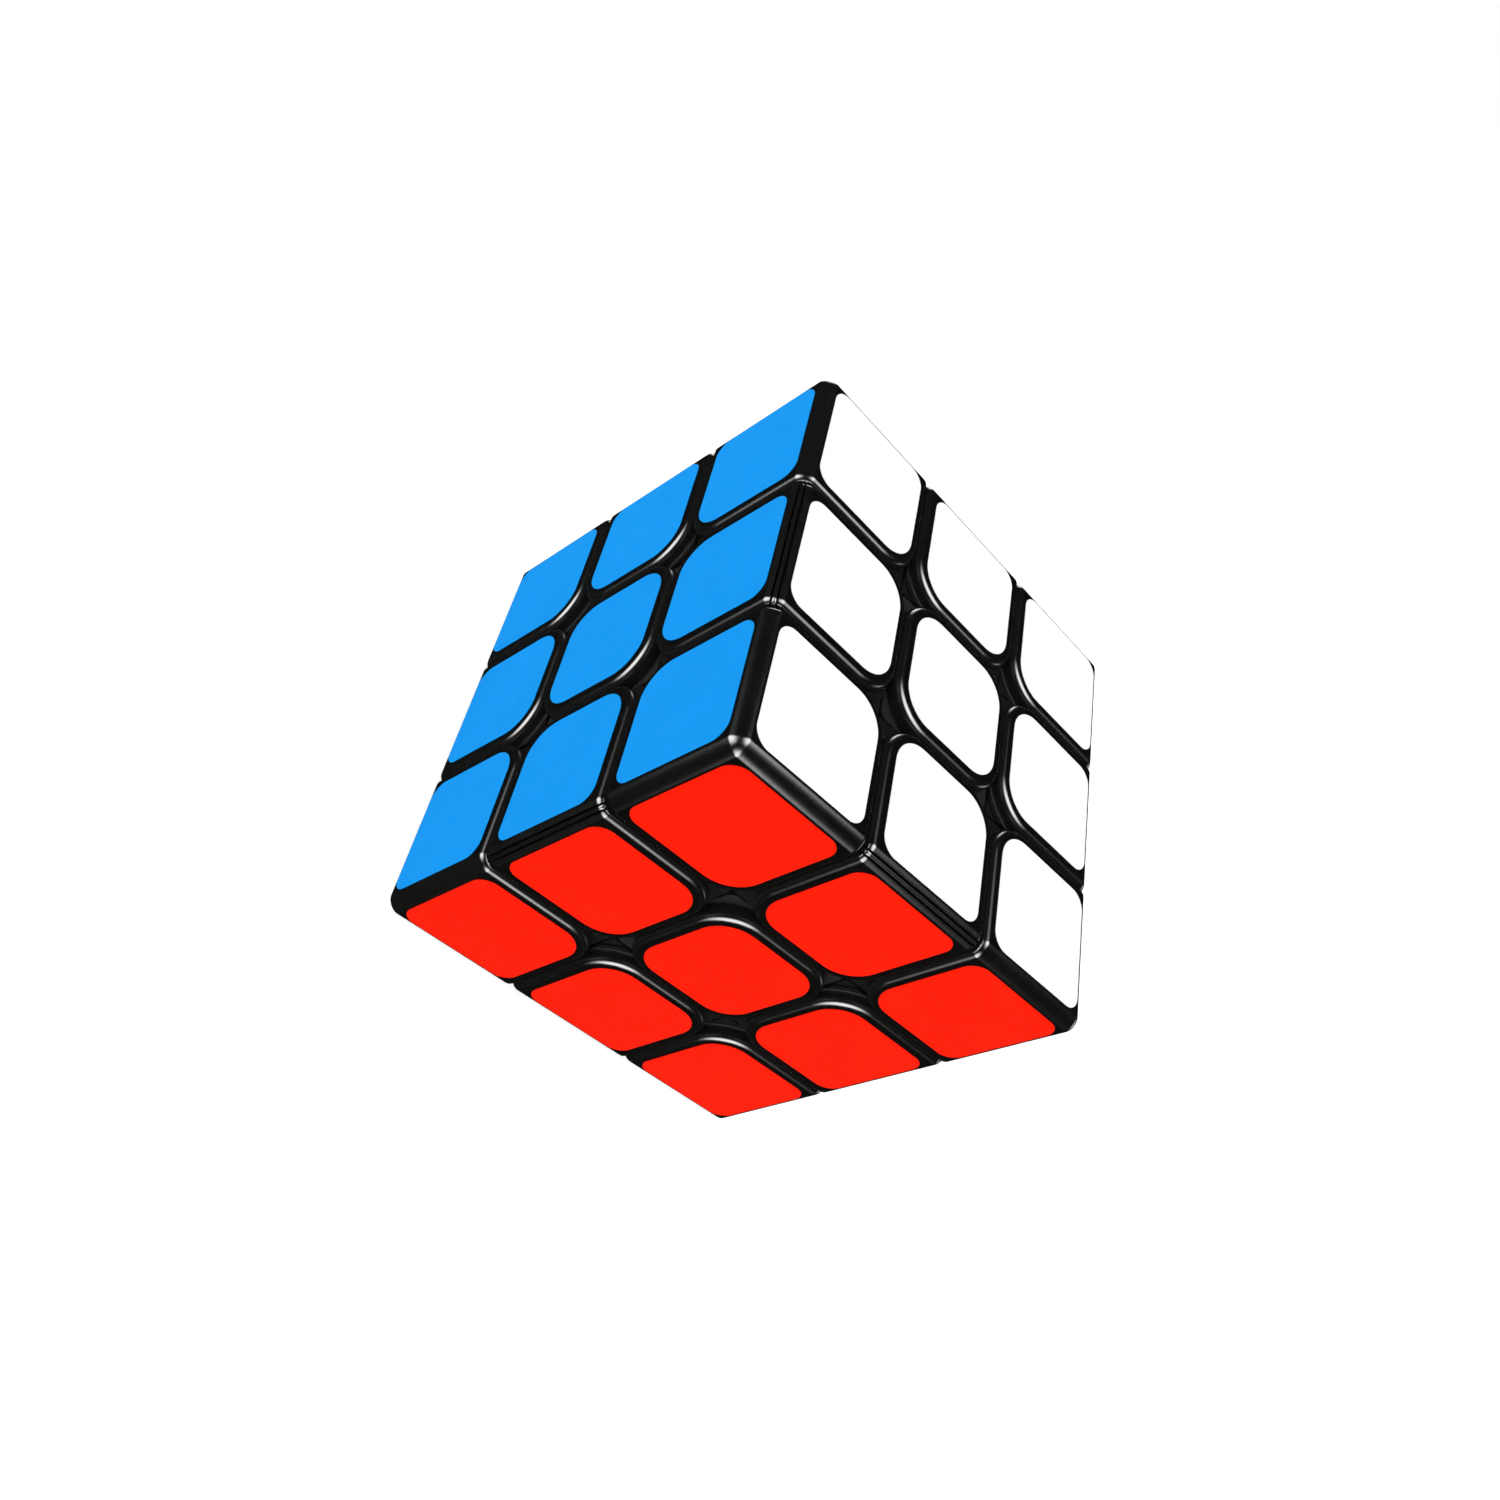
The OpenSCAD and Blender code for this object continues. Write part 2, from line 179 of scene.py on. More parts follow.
def tidy(obj):
    """Merges doubled points and flat neighbours left by the cutting."""
    in_order(obj.data)
    bm = bmesh.new()
    bm.from_mesh(obj.data)
    bmesh.ops.remove_doubles(bm, verts=bm.verts, dist=0.002)
    bmesh.ops.dissolve_limit(bm, angle_limit=math.radians(0.5), verts=bm.verts, edges=bm.edges)
    bmesh.ops.recalc_face_normals(bm, faces=bm.faces)
    bm.to_mesh(obj.data)
    bm.free()


THREEFOLD = [Quaternion((1, 1, 1), math.radians(120 * k)).to_matrix() for k in range(3)]
SWAP = [Matrix.Identity(3), Quaternion((1, 0, 1), math.radians(180)).to_matrix()]


def bevel_weights(bm):
    """The mesh's bevel weight layer, wiped."""
    layer = bm.edges.layers.float.get("bevel_weight_edge") or bm.edges.layers.float.new("bevel_weight_edge")
    for e in bm.edges:
        e[layer] = 0.0
    return layer


def bevelled(obj, width, segments, profile):
    """Rounds the edges that carry a bevel weight."""
    m = obj.modifiers.new("bevel", "BEVEL")
    m.limit_method = "WEIGHT"
    m.offset_type = "OFFSET"
    m.width = width
    m.segments = segments
    m.profile = profile
    m.use_clamp_overlap = False
    settle(obj)


def round_cutter(name, x, y, sx, sy, low, turn, grow=0.0):
    """Takes off the corner at (x, y): a quarter round of JUNCTION_R down to the height low, with a hollow
    fillet round its foot. sx and sy say which way the piece lies from the corner. grow cuts further into
    the piece and leaves the fillet out."""
    steps = 18
    past = 2.0      # how far the cutter reaches beyond the piece
    r = JUNCTION_R + grow
    cx, cy = x + sx * JUNCTION_R, y + sy * JUNCTION_R
    arc = []
    for i in range(steps + 1):
        t = math.radians(90 * i / steps)
        arc.append((cx - sx * r * math.sin(t), cy - sy * r * math.cos(t)))
    outline = arc + [(x - sx * past, cy), (x - sx * past, y - sy * past), (cx, y - sy * past)]
    area = sum(p[0] * q[1] - q[0] * p[1] for p, q in zip(outline, outline[1:] + outline[:1]))
    if area < 0:
        outline.reverse()
    obj = prism(name, outline, low, FAR)
    if not grow:
        bm = bmesh.new()
        bm.from_mesh(obj.data)
        weight = bevel_weights(bm)
        foot = [v for v in bm.verts if v.co.z < low + 0.01]
        on_arc = {v for v in foot if abs(math.hypot(v.co.x - cx, v.co.y - cy) - r) < 0.01}
        for e in bm.edges:
            e[weight] = 1.0 if on_arc.issuperset(e.verts) else 0.0
        bm.to_mesh(obj.data)
        bm.free()
        bevelled(obj, FOOT_R, 4, 0.5)
    obj.data.transform(turn.to_4x4())
    return obj


def round_outside(obj):
    """Rounds the edges a block shares with the outside edges of the cube."""
    bm = bmesh.new()
    bm.from_mesh(obj.data)
    weight = bevel_weights(bm)
    for e in bm.edges:
        p, q = (v.co for v in e.verts)
        e[weight] = 1.0 if sum(min(p[i], q[i]) > FACE - 0.001 for i in range(3)) == 2 else 0.0
    bm.to_mesh(obj.data)
    bm.free()
    bevelled(obj, ROUND_W, 8, ROUND_P)


def soften(obj):
    """Fillets the lips where the grooves meet the outer surface."""
    bm = bmesh.new()
    bm.from_mesh(obj.data)
    weight = bevel_weights(bm)
    for e in bm.edges:
        if len(e.link_faces) != 2 or min(max(v.co) for v in e.verts) < FACE - LIP_ZONE:
            continue
        e[weight] = 1.0 if e.calc_face_angle(0) > math.radians(LIP_ANGLE) else 0.0
    bm.to_mesh(obj.data)
    bm.free()
    bevelled(obj, LIP_R, 6, 0.5)


def finish_mesh(obj, name, crease=32):
    """Smooth shading with the flat faces kept flat, scaled to metres."""
    bm = bmesh.new()
    bm.from_mesh(obj.data)
    bmesh.ops.remove_doubles(bm, verts=bm.verts, dist=0.0005)
    bmesh.ops.dissolve_degenerate(bm, dist=0.0005, edges=bm.edges)
    bmesh.ops.recalc_face_normals(bm, faces=bm.faces)
    for f in bm.faces:
        f.smooth = True
    for e in bm.edges:
        e.smooth = e.calc_face_angle(0) < math.radians(crease) if len(e.link_faces) == 2 else False
    bmesh.ops.triangulate(bm, faces=[f for f in bm.faces if len(f.verts) > 4])
    bm.to_mesh(obj.data)
    bm.free()
    m = obj.modifiers.new("normals", "WEIGHTED_NORMAL")
    m.keep_sharp = True
    m.weight = 100
    mesh = settle(obj)
    mesh.transform(Matrix.Scale(MM, 4))
    mesh.name = name
    mesh.materials.clear()
    bpy.data.objects.remove(obj)
    return mesh


def sliced(obj, planes):
    """A copy of obj kept on the negative side of each plane (point, normal), closed where it was cut."""
    copy = bpy.data.objects.new(obj.name + "_part", obj.data.copy())
    work.objects.link(copy)
    bm = bmesh.new()
    bm.from_mesh(copy.data)
    for point, normal in planes:
        every = bm.verts[:] + bm.edges[:] + bm.faces[:]
        cut = bmesh.ops.bisect_plane(bm, geom=every, plane_co=point, plane_no=normal, clear_outer=True)
        rim = [g for g in cut["geom_cut"] if isinstance(g, bmesh.types.BMEdge)]
        bmesh.ops.holes_fill(bm, edges=rim, sides=0)
    bm.to_mesh(copy.data)
    bm.free()
    return copy


# ---------------------------------------------------------------- the three outer shells
def corner_shell():
    """The three-sided shell of a corner piece, at the top, back and right."""
    obj = block("corner_shell", (NEAR, NEAR, NEAR), (FACE, FACE, FACE))
    round_outside(obj)
    cutters = [ball("inner", LID_R)]
    for k, turn in enumerate(THREEFOLD):
        cutters.append(round_cutter("round%d" % k, NEAR, NEAR, 1, 1, SHELF, turn))
    carve(obj, cutters)
    tidy(obj)
    soften(obj)
    return finish_mesh(obj, "corner_shell")


def edge_shell_parts():
    """The two half shells of an edge piece, at the top and right, and the rib between them."""
    obj = block("edge_shell", (NEAR, -REACH, NEAR), (FACE, REACH, FACE))
    round_outside(obj)
    cutters = [ball("inner", LID_R)]
    for k, turn in enumerate(SWAP):
        for sy in (1, -1):
            y = -sy * REACH
            cutters.append(round_cutter("round%d%d" % (k, sy), NEAR, y, 1, sy, SHELF + LEDGE_H, turn))
            cutters.append(round_cutter("foot%d%d" % (k, sy), NEAR, y, 1, sy, SHELF, turn, LEDGE_W))
    carve(obj, cutters)
    tidy(obj)
    soften(obj)
    # across the seam: positive towards the right-hand face
    n = Vector((1, 0, -1)).normalized()
    s = (SEAM_W + SEAM_GAP) / 2
    upper = sliced(obj, [(n * -s, n)])
    lower = sliced(obj, [(n * s, -n)])
    bpy.data.objects.remove(obj)
    parts = ((upper, "edge_upper"), (seam_rib(), "edge_rib"), (lower, "edge_lower"))
    return [finish_mesh(part, name) for part, name in parts]


def seam_rib():
    """The narrow strip that shows between the two seam lines: round-shouldered, ending in the same lips."""
    half = (SEAM_W - SEAM_GAP) / 2
    top = (FACE - ROUND_W * (1 - math.sqrt(ROUND_P))) * math.sqrt(2) - 0.01
    section = [(-half, -RIB_DEPTH), (half, -RIB_DEPTH)]
    for start, middle in ((0, half - RIB_R), (90, RIB_R - half)):
        for i in range(5):
            t = math.radians(start + 90 * i / 4)
            section.append((middle + RIB_R * math.cos(t), RIB_R * math.sin(t) - RIB_R))
    stations = []
    for k in range(7):
        t = math.radians(15 * k)
        stations.append((REACH - LIP_R + LIP_R * math.sin(t), LIP_R * (1 - math.cos(t))))
    stations = [(-y, drop) for y, drop in reversed(stations)] + stations
    across, out = Vector((1, 0, -1)).normalized(), Vector((1, 0, 1)).normalized()
    verts, faces, n = [], [], len(section)
    for y, drop in stations:
        for s, up in section:
            height = top + up if up < -1 else top + up - drop
            verts.append(across * s + out * height + Vector((0, y, 0)))
    for k in range(len(stations) - 1):
        a, b = k * n, (k + 1) * n
        faces += [(a + i, a + (i + 1) % n, b + (i + 1) % n, b + i) for i in range(n)]
    faces += [tuple(range(n)), tuple(reversed(range((len(stations) - 1) * n, len(stations) * n)))]
    return mesh_object("edge_rib", verts, faces)


def centre_cap():
    """The cap of a centre piece, at the top."""
    obj = block("centre_cap", (-REACH, -REACH, SHELF + CAP_LIFT), (REACH, REACH, FACE))
    flat = Matrix.Identity(3)
    corners = [(sx, sy) for sx in (-1, 1) for sy in (-1, 1)]
    carve(obj, [round_cutter("round%d%d" % (sx, sy), sx * REACH, sy * REACH, -sx, -sy, SHELF - 1, flat)
                for sx, sy in corners])
    tidy(obj)
    soften(obj)
    return finish_mesh(obj, "centre_cap")


# ---------------------------------------------------------------- stickers
def sticker_mesh(name, lo, hi, radii):
    """A thin vinyl sheet: radii run from the lower left corner anticlockwise."""
    pts = []
    corners = [(lo[0], lo[1], 180), (hi[0], lo[1], 270), (hi[0], hi[1], 0), (lo[0], hi[1], 90)]
    for (x, y, start), r in zip(corners, radii):
        cx = x + r if x == lo[0] else x - r
        cy = y + r if y == lo[1] else y - r
        for i in range(13):
            t = math.radians(start + 90 * i / 12)
            pts.append((cx + r * math.cos(t), cy + r * math.sin(t)))
    obj = prism(name, pts, TOP - STICKER_T, TOP)
    bm = bmesh.new()
    bm.from_mesh(obj.data)
    weight = bevel_weights(bm)
    for e in bm.edges:
        e[weight] = 1.0 if all(v.co.z > TOP - 0.01 for v in e.verts) else 0.0
    bm.to_mesh(obj.data)
    bm.free()
    bevelled(obj, STICKER_RIM, 2, 0.5)
    return finish_mesh(obj, name)


# ---------------------------------------------------------------- pieces of the CAD mouldings
def island(node, name, wanted):
    """The loose part of a CAD node for which wanted(list of points in mm) is true."""
    bm = bmesh.new()
    bm.from_mesh(frame["nodes"][node].data)
    bmesh.ops.remove_doubles(bm, verts=bm.verts, dist=2e-6)
    left = set(bm.verts)
    keep = set()
    while left:
        stack = [left.pop()]
        part = set(stack)
        while stack:
            v = stack.pop()
            for e in v.link_edges:
                o = e.other_vert(v)
                if o in left:
                    left.discard(o)
                    part.add(o)
                    stack.append(o)
        if wanted([v.co / MM for v in part]):
            keep |= part
    bmesh.ops.delete(bm, geom=[v for v in bm.verts if v not in keep], context="VERTS")
    for f in bm.faces:
        f.smooth = True
    for e in bm.edges:
        e.smooth = len(e.link_faces) == 2 and e.calc_face_angle(0) < math.radians(25)
    mesh = bpy.data.meshes.new(name)
    bm.to_mesh(mesh)
    bm.free()
    return mesh


def reaches_in(radius):
    """Picks the loose parts that come nearer than radius to the middle of the cube."""
    return lambda points: min(p.length for p in points) < radius


# ---------------------------------------------------------------- materials
def new_material(name):
    mat = bpy.data.materials.new(name)
    mat.use_nodes = True
    nt = mat.node_tree
    bsdf = nt.nodes["Principled BSDF"]
    return mat, nt, bsdf


def noise(nt, vector, scale, detail=3.0, rough=0.5):
    n = nt.nodes.new("ShaderNodeTexNoise")
    n.inputs["Scale"].default_value = scale
    n.inputs["Detail"].default_value = detail
    n.inputs["Roughness"].default_value = rough
    nt.links.new(vector, n.inputs["Vector"])
    return n.outputs["Fac"]


def math_node(nt, kind, *values):
    """A maths node on sockets or numbers."""
    m = nt.nodes.new("ShaderNodeMath")
    m.operation = kind
    for i, v in enumerate(values):
        if isinstance(v, (int, float)):
            m.inputs[i].default_value = v
        else:
            nt.links.new(v, m.inputs[i])
    return m.outputs[0]


def ranged(nt, value, a, b, c, d):
    """Maps value from the range a to b onto c to d, and holds it there; all may be sockets or numbers."""
    m = nt.nodes.new("ShaderNodeMapRange")
    nt.links.new(value, m.inputs["Value"])
    for key, v in zip(("From Min", "From Max", "To Min", "To Max"), (a, b, c, d)):
        if isinstance(v, (int, float)):
            m.inputs[key].default_value = v
        else:
            nt.links.new(v, m.inputs[key])
    return m.outputs["Result"]


def mixed(nt, fac, a, b):
    m = nt.nodes.new("ShaderNodeMix")
    m.data_type = "RGBA"
    if isinstance(fac, float):
        m.inputs["Factor"].default_value = fac
    else:
        nt.links.new(fac, m.inputs["Factor"])
    for i, c in ((6, a), (7, b)):
        if isinstance(c, tuple):
            m.inputs[i].default_value = c
        else:
            nt.links.new(c, m.inputs[i])
    return m.outputs[2]


def piece_vector(nt, stretch=None):
    """Object coordinates in millimetres, shifted by each piece's own random number."""
    coord = nt.nodes.new("ShaderNodeTexCoord")
    info = nt.nodes.new("ShaderNodeObjectInfo")
    shift = nt.nodes.new("ShaderNodeVectorMath")
    shift.operation = "MULTIPLY_ADD"
    shift.inputs[1].default_value = (1 / MM, 1 / MM, 1 / MM)
    spread = nt.nodes.new("ShaderNodeVectorMath")
    spread.operation = "SCALE"
    spread.inputs[0].default_value = (37.0, 91.0, 53.0)
    nt.links.new(info.outputs["Random"], spread.inputs["Scale"])
    nt.links.new(coord.outputs["Object"], shift.inputs[0])
    nt.links.new(spread.outputs["Vector"], shift.inputs[2])
    out = shift.outputs["Vector"]
    if stretch:
        m = nt.nodes.new("ShaderNodeMapping")
        m.inputs["Scale"].default_value = stretch
        m.inputs["Rotation"].default_value = (0.3, 0.5, 0.9)
        nt.links.new(out, m.inputs["Vector"])
        out = m.outputs["Vector"]
    return out


def add_bump(nt, bsdf, height, strength, distance):
    b = nt.nodes.new("ShaderNodeBump")
    b.inputs["Strength"].default_value = strength
    b.inputs["Distance"].default_value = distance
    nt.links.new(height, b.inputs["Height"])
    nt.links.new(b.outputs["Normal"], bsdf.inputs["Normal"])


def sizes_of(nt, vector):
    """The three coordinates of a vector without their signs."""
    parts = nt.nodes.new("ShaderNodeSeparateXYZ")
    nt.links.new(vector, parts.inputs[0])
    return [math_node(nt, "ABSOLUTE", part) for part in parts.outputs]


def groove_depth(nt):
    """0 on the rounded outer surface of the cube, 1 down in the grooves."""
    # a high power mean of the three coordinates is level over the faces and round the rounded edges
    power = 28.0
    place = nt.nodes.new("ShaderNodeTexCoord").outputs["Object"]
    x, y, z = [math_node(nt, "POWER", math_node(nt, "DIVIDE", part, FACE * MM), power)
               for part in sizes_of(nt, place)]
    level = math_node(nt, "POWER", math_node(nt, "ADD", math_node(nt, "ADD", x, y), z), 1 / power)
    return ranged(nt, level, 1 - GROOVE_TOP / FACE, 1 - GROOVE_DEEP / FACE, 0.0, 1.0)


def flatness(nt):
    """1 on the flats that lie square to an axis, 0 on everything rounded."""
    x, y, z = sizes_of(nt, nt.nodes.new("ShaderNodeTexCoord").outputs["Normal"])
    largest = math_node(nt, "MAXIMUM", math_node(nt, "MAXIMUM", x, y), z)
    fade, full = (math.cos(math.radians(angle)) for angle in (FLAT_FADE, FLAT_FULL))
    return ranged(nt, largest, fade, full, 0.0, 1.0)


def moulded_plastic(name, dark, light, rough_lo, rough_hi, bump=0.05, groove_fill=None, gloss=GLOSS):
    """Injection-moulded plastic: faint flow mottling, fine orange peel and hairline handling scratches.
    With a colour for the grooves, also painted fill light: a lighter colour, in patches, that lifts the shade
    down in the grooves; and gloss only on what is rounded."""
    mat, nt, bsdf = new_material(name)
    vec = piece_vector(nt)
    mottle = noise(nt, vec, 0.35, 4.0)
    colour = mixed(nt, ranged(nt, mottle, 0.3, 0.7, 0.0, 1.0), dark, light)
    rough = ranged(nt, noise(nt, vec, 0.8, 5.0, 0.6), 0.3, 0.7, rough_lo, rough_hi)
    bsdf.inputs["Specular IOR Level"].default_value = gloss
    if groove_fill:
        depth = groove_depth(nt)
        patches = ranged(nt, noise(nt, vec, 1.6, 5.0, 0.6), 0.25, 0.6, 0.75, 1.0)
        # painted fill light: a lighter colour down in the grooves, in patches, lifts the shade that falls
        # there
        colour = mixed(nt, math_node(nt, "MULTIPLY", depth, patches), colour, groove_fill)
        sheen = ranged(nt, flatness(nt), 0.0, 1.0, gloss, FLAT_GLOSS)
        sheen = ranged(nt, depth, 0.0, 1.0, sheen, GROOVE_GLOSS)
        # a reflection seen in another reflection has no gloss
        second = nt.nodes.new("ShaderNodeLightPath").outputs["Is Glossy Ray"]
        nt.links.new(ranged(nt, second, 0.0, 1.0, sheen, 0.0), bsdf.inputs["Specular IOR Level"])
    nt.links.new(colour, bsdf.inputs["Base Color"])
    scratch = ranged(nt, noise(nt, piece_vector(nt, (9.0, 0.25, 0.25)), 1.0, 2.0, 0.6), 0.62, 0.72, 0.0, 1.0)
    nt.links.new(math_node(nt, "MULTIPLY_ADD", scratch, 0.03, rough), bsdf.inputs["Roughness"])
    add_bump(nt, bsdf, noise(nt, vec, 2.2, 3.0), bump, 0.0001)
    return mat


def vinyl(name, base, shade):
    """Satin vinyl sheet: slight tone change over the sheet, fine grain, rubbed patches."""
    mat, nt, bsdf = new_material(name)
    vec = piece_vector(nt)
    tone = ranged(nt, noise(nt, vec, 0.12, 3.0), 0.3, 0.7, 0.0, 1.0)
    nt.links.new(mixed(nt, tone, base, shade), bsdf.inputs["Base Color"])
    rub = ranged(nt, noise(nt, vec, 0.5, 5.0, 0.65), 0.35, 0.65, 0.42, 0.56)
    nt.links.new(rub, bsdf.inputs["Roughness"])
    bsdf.inputs["Specular IOR Level"].default_value = 0.02
    add_bump(nt, bsdf, noise(nt, vec, 6.0, 4.0), 0.06, 0.00005)
    return mat


def metal(name, dark, light, rough_lo, rough_hi, stretch):
    """Plated steel with drawn or pressed grain."""
    mat, nt, bsdf = new_material(name)
    vec = piece_vector(nt)
    tone = ranged(nt, noise(nt, vec, 0.9, 4.0), 0.3, 0.7, 0.0, 1.0)
    nt.links.new(mixed(nt, tone, dark, light), bsdf.inputs["Base Color"])
    bsdf.inputs["Metallic"].default_value = 1.0
    grain = noise(nt, piece_vector(nt, stretch), 1.5, 3.0)
    nt.links.new(ranged(nt, grain, 0.3, 0.7, rough_lo, rough_hi), bsdf.inputs["Roughness"])
    add_bump(nt, bsdf, grain, 0.1, 0.00005)
    return mat


def solid(r, g, b):
    """An opaque colour."""
    return (r, g, b, 1.0)


# the lighter groove colour given here is painted fill light that lifts the shade in the grooves and recesses
black = moulded_plastic("black_abs", solid(0.0026, 0.0028, 0.0025), solid(0.0038, 0.0040, 0.0037),
                        0.13, 0.17, groove_fill=solid(0.0115, 0.0115, 0.0110))
# painted fill light: this black is coloured lighter than the shells to lift the shade on the recess floor,
# where the hubs and feet show
inner_black = moulded_plastic("inner_black_abs", solid(0.0085, 0.0085, 0.0082), solid(0.0120, 0.0120, 0.0115),
                              0.34, 0.44, bump=0.08, gloss=0.05)
nylon = moulded_plastic("core_nylon", solid(0.60, 0.60, 0.56), solid(0.70, 0.70, 0.66), 0.38, 0.5, bump=0.08)
screw_metal = metal("screw_zinc", solid(0.42, 0.42, 0.44), solid(0.6, 0.6, 0.62), 0.22, 0.38, (1.0, 1.0, 7.0))
spring_metal = metal("spring_wire", solid(0.32, 0.32, 0.34), solid(0.5, 0.5, 0.52), 0.2, 0.34, (6.0, 6.0, 1.0))
washer_metal = metal("washer_steel", solid(0.46, 0.46, 0.47), solid(0.62, 0.62, 0.63),
                     0.28, 0.42, (8.0, 1.0, 1.0))
STICKERS = {
    "top": ("white", solid(0.95, 0.95, 0.95), solid(0.92, 0.92, 0.92)),
    "bottom": ("yellow", solid(0.93, 0.70, 0.02), solid(0.90, 0.67, 0.02)),
    "front": ("blue", solid(0.0035, 0.262, 0.73), solid(0.003, 0.252, 0.705)),
    "back": ("green", solid(0.012, 0.42, 0.09), solid(0.011, 0.40, 0.085)),
    "left": ("orange", solid(0.95, 0.22, 0.01), solid(0.92, 0.21, 0.01)),
    "right": ("red", solid(0.93, 0.0100, 0.0), solid(0.90, 0.009, 0.0)),
}
VINYL = {side: vinyl("sticker_" + colour, base, shade) for side, (colour, base, shade) in STICKERS.items()}


# ---------------------------------------------------------------- places
def spin(axis, degrees):
    return Matrix.Rotation(math.radians(degrees), 4, axis)


# the turns that bring the prototypes from the top, top right and top back right to their places
CENTRE_TURN = {
    "top": Matrix.Identity(4), "bottom": spin("X", 180), "front": spin("X", 90),
    "back": spin("X", -90), "left": spin("Y", -90), "right": spin("Y", 90),
}
TOP_EDGES = ["top_right", "top_back", "top_left", "top_front"]
BOTTOM_EDGES = ["bottom_right", "bottom_back", "bottom_left", "bottom_front"]
MIDDLE_EDGES = ["back_right", "back_left", "front_left", "front_right"]
TOP_CORNERS = ["top_back_right", "top_back_left", "top_front_left", "top_front_right"]
BOTTOM_CORNERS = ["bottom_front_right", "bottom_back_right", "bottom_back_left", "bottom_front_left"]
EDGE_TURN = {}
CORNER_TURN = {}
for q in range(4):
    EDGE_TURN[TOP_EDGES[q]] = spin("Z", 90 * q)
    EDGE_TURN[BOTTOM_EDGES[q]] = spin("Z", 90 * q) @ spin("X", 180)
    EDGE_TURN[MIDDLE_EDGES[q]] = spin("Z", 90 * q) @ spin("X", -90)
    CORNER_TURN[TOP_CORNERS[q]] = spin("Z", 90 * q)
    CORNER_TURN[BOTTOM_CORNERS[q]] = spin("Z", 90 * q) @ spin("X", 180)


def side_of(direction):
    """The name of the cube's side a direction points out of."""
    up = Vector((0, 0, 1))
    return max(CENTRE_TURN, key=lambda side: (CENTRE_TURN[side].to_3x3() @ up).dot(direction))


def put(mesh, name, turn, body, node, material):
    """Places a piece that rides on a body and stands for part of a CAD node."""
    obj = bpy.data.objects.new(name, mesh)
    scene.collection.objects.link(obj)
    obj.matrix_world = turn
    if not mesh.materials:
        mesh.materials.append(None)
    obj.material_slots[0].link = "OBJECT"
    obj.material_slots[0].material = material
    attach(obj, body)
    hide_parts(node)
    return obj


# ---------------------------------------------------------------- build
shell_corner = corner_shell()
shell_edge = edge_shell_parts()
cap = centre_cap()
side = STICKER_W / 2
high = TOP - STICKER_OUT
low = high - STICKER_W
inner, outer = STICKER_R, STICKER_R_OUT
sheet_centre = sticker_mesh("sheet_centre", (-side, -side), (side, side), [inner] * 4)
sheet_edge = sticker_mesh("sheet_edge", (low, -side), (high, side), [inner, outer, outer, inner])
sheet_corner = sticker_mesh("sheet_corner", (low, low), (high, high), [inner, outer, outer, outer])


def put_sticker(mesh, kind, name, turn, extra):
    """One sheet of the piece called name, on the side that extra turns it to."""
    whole = turn @ extra.to_4x4()
    side = side_of(whole.to_3x3() @ Vector((0, 0, 1)))
    colour = STICKERS[side][0]
    put(mesh, "sticker_%s_%s_%s" % (colour, kind, name), whole, "%s_%s_body" % (kind, name),
        "stickers_%s_%s" % (kind, name), VINYL[side])


for name, turn in CENTRE_TURN.items():
    node, body = "centre_" + name, "centre_%s_body" % name
    put(cap, "cap_" + name, turn, body, node, black)
    hub = island(node, "hub_" + name, reaches_in(HUB_REACH))
    put(hub, "hub_" + name, Matrix.Identity(4), body, node, inner_black)
    put_sticker(sheet_centre, "centre", name, turn, Matrix.Identity(3))

for name, turn in EDGE_TURN.items():
    node, body = "edge_" + name, "edge_%s_body" % name
    for mesh, part in zip(shell_edge, ("shell_upper", "seam_rib", "shell_lower")):
        put(mesh, "%s_edge_%s" % (part, name), turn, body, node, black)
    foot = island(node, "foot_edge_" + name, reaches_in(FOOT_REACH))
    put(foot, "foot_edge_" + name, Matrix.Identity(4), body, node, inner_black)
    for extra in SWAP:
        put_sticker(sheet_edge, "edge", name, turn, extra)

for name, turn in CORNER_TURN.items():
    node, body = "corner_" + name, "corner_%s_body" % name
    put(shell_corner, "shell_corner_" + name, turn, body, node, black)
    foot = island(node, "foot_corner_" + name, reaches_in(FOOT_REACH))
    put(foot, "foot_corner_" + name, Matrix.Identity(4), body, node, inner_black)
    for extra in THREEFOLD:
        put_sticker(sheet_corner, "corner", name, turn, extra)

INNER_MATERIALS = {
    "core": nylon,
    "tension_screws": screw_metal,
    "tension_springs": spring_metal,
    "spring_washers": washer_metal,
}
for node, material in INNER_MATERIALS.items():
    obj = frame["nodes"][node]
    obj.data.materials.clear()
    obj.data.materials.append(material)

for obj in list(work.objects):
    bpy.data.objects.remove(obj)
bpy.data.collections.remove(work)

# ---------------------------------------------------------------- floor, light, camera
floor_mesh = bpy.data.meshes.new("floor")
FLOOR_HALF = 1.5                # metres
FLOOR_GAP = 0.2                 # mm below the cube
floor_z = -(TOP + FLOOR_GAP) * MM
floor_corners = [(x * FLOOR_HALF, y * FLOOR_HALF, floor_z) for x, y in ((-1, -1), (1, -1), (1, 1), (-1, 1))]
floor_mesh.from_pydata(floor_corners, [], [(0, 1, 2, 3)])
floor = bpy.data.objects.new("floor", floor_mesh)
scene.collection.objects.link(floor)
pale, nt, bsdf = new_material("pale_floor")
bsdf.inputs["Base Color"].default_value = (0.4, 0.4, 0.4, 1)
bsdf.inputs["Roughness"].default_value = 0.9
bsdf.inputs["Emission Color"].default_value = (1, 1, 1, 1)
bsdf.inputs["Emission Strength"].default_value = 0.8
floor.data.materials.append(pale)
floor.visible_glossy = False

# Soft studio: everything matt is lit evenly from all round, and the gloss sees a dark room with
# a few soft boxes. The camera itself sees plain white behind the object.
FILL = 1.08
ROOM = 0.024
world = bpy.data.worlds.new("studio")
scene.world = world
world.use_nodes = True
world.cycles.sampling_method = "NONE"
nt = world.node_tree
nt.nodes.clear()
out = nt.nodes.new("ShaderNodeOutputWorld")
coord = nt.nodes.new("ShaderNodeTexCoord")


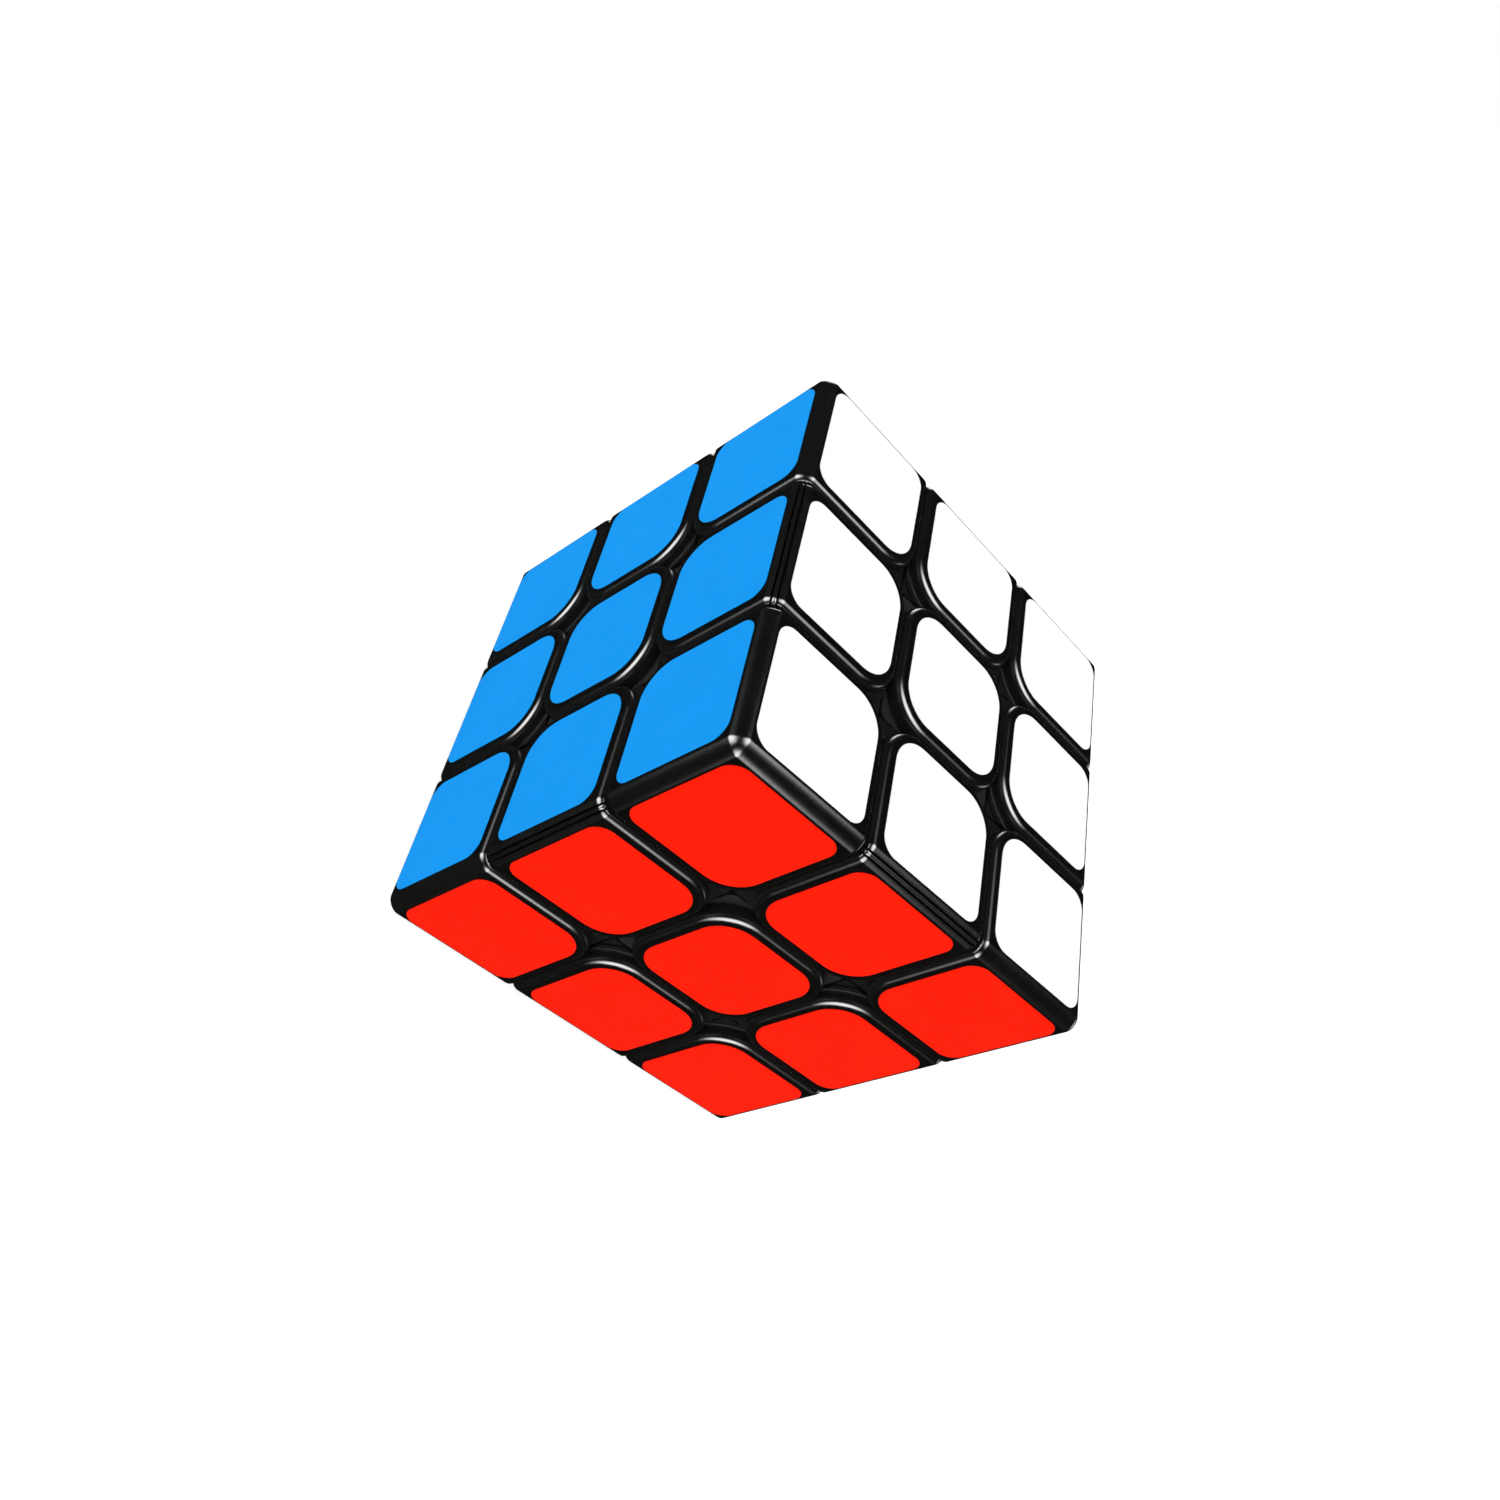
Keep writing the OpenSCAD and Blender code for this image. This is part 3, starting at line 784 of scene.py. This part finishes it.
def soft_box(direction, reach, strength):
    """A round light seen in reflections, even in the middle and faded to a third at reach degrees off."""
    dot = nt.nodes.new("ShaderNodeVectorMath")
    dot.operation = "DOT_PRODUCT"
    nt.links.new(coord.outputs["Generated"], dot.inputs[0])
    dot.inputs[1].default_value = Vector(direction).normalized()
    span = 1 - math.cos(math.radians(reach))
    off = math_node(nt, "DIVIDE", math_node(nt, "SUBTRACT", 1.0, dot.outputs["Value"]), span)
    falling = math_node(nt, "MULTIPLY", math_node(nt, "MULTIPLY", off, off), -1.0)
    return math_node(nt, "MULTIPLY", math_node(nt, "POWER", math.e, falling), strength)


SOFT_BOXES = [
    ((0.0, 0.0, 1.0), 27.4, 20.8),
    ((1.0, 0.0, 0.0), 27.4, 20.8),
    ((0.0, -1.0, 0.0), 27.4, 20.8),
    ((-1.0, 0.0, 0.1), 14.0, 7.2),
    ((0.0, 1.0, 0.1), 14.0, 3.2),
]
total = ROOM
for direction, reach, strength in SOFT_BOXES:
    total = math_node(nt, "ADD", total, soft_box(direction, reach, strength))


def backdrop(strength):
    """Plain white light of a strength that may be a socket."""
    shader = nt.nodes.new("ShaderNodeBackground")
    shader.inputs["Color"].default_value = (1, 1, 1, 1)
    if isinstance(strength, float):
        shader.inputs["Strength"].default_value = strength
    else:
        nt.links.new(strength, shader.inputs["Strength"])
    return shader.outputs[0]


def chosen(ray, no, yes):
    """One shader for the rays named, another for all others."""
    mix = nt.nodes.new("ShaderNodeMixShader")
    for i, source in enumerate((path.outputs[ray], no, yes)):
        nt.links.new(source, mix.inputs[i])
    return mix.outputs[0]


path = nt.nodes.new("ShaderNodeLightPath")
gloss_or_fill = chosen("Is Glossy Ray", backdrop(FILL), backdrop(total))
nt.links.new(chosen("Is Camera Ray", gloss_or_fill, backdrop(1.0)), out.inputs["Surface"])

# The camera stands at the front right corner above the cube, rolled so that the top face is on its right.
CAM_DISTANCE = 0.17383
CAM_AZIMUTH = -39.159
CAM_ELEVATION = 37.210
AIM_AZIMUTH = -40.2309          # the way it looks is a little off the middle of the cube
AIM_ELEVATION = 36.6720
ROLL = 66.9014
LENS = 34.212
cam_data = bpy.data.cameras.new("camera")
cam = bpy.data.objects.new("camera", cam_data)
scene.collection.objects.link(cam)
cam_data.sensor_width = 36.0
cam_data.lens = LENS
cam_data.clip_start = 0.005
cam_data.shift_x = -0.02777
cam_data.shift_y = 0.02756


def heading(azimuth, elevation):
    """The unit vector at an azimuth from the X axis and an elevation, in degrees."""
    a, e = math.radians(azimuth), math.radians(elevation)
    return Vector((math.cos(a) * math.cos(e), math.sin(a) * math.cos(e), math.sin(e)))


cam.location = heading(CAM_AZIMUTH, CAM_ELEVATION) * CAM_DISTANCE
back = heading(AIM_AZIMUTH, AIM_ELEVATION)
cam.rotation_mode = "QUATERNION"
cam.rotation_quaternion = Quaternion(back, math.radians(ROLL)) @ back.to_track_quat("Z", "Y")
scene.camera = cam
scene.view_settings.view_transform = "Standard"
scene.view_settings.look = "None"
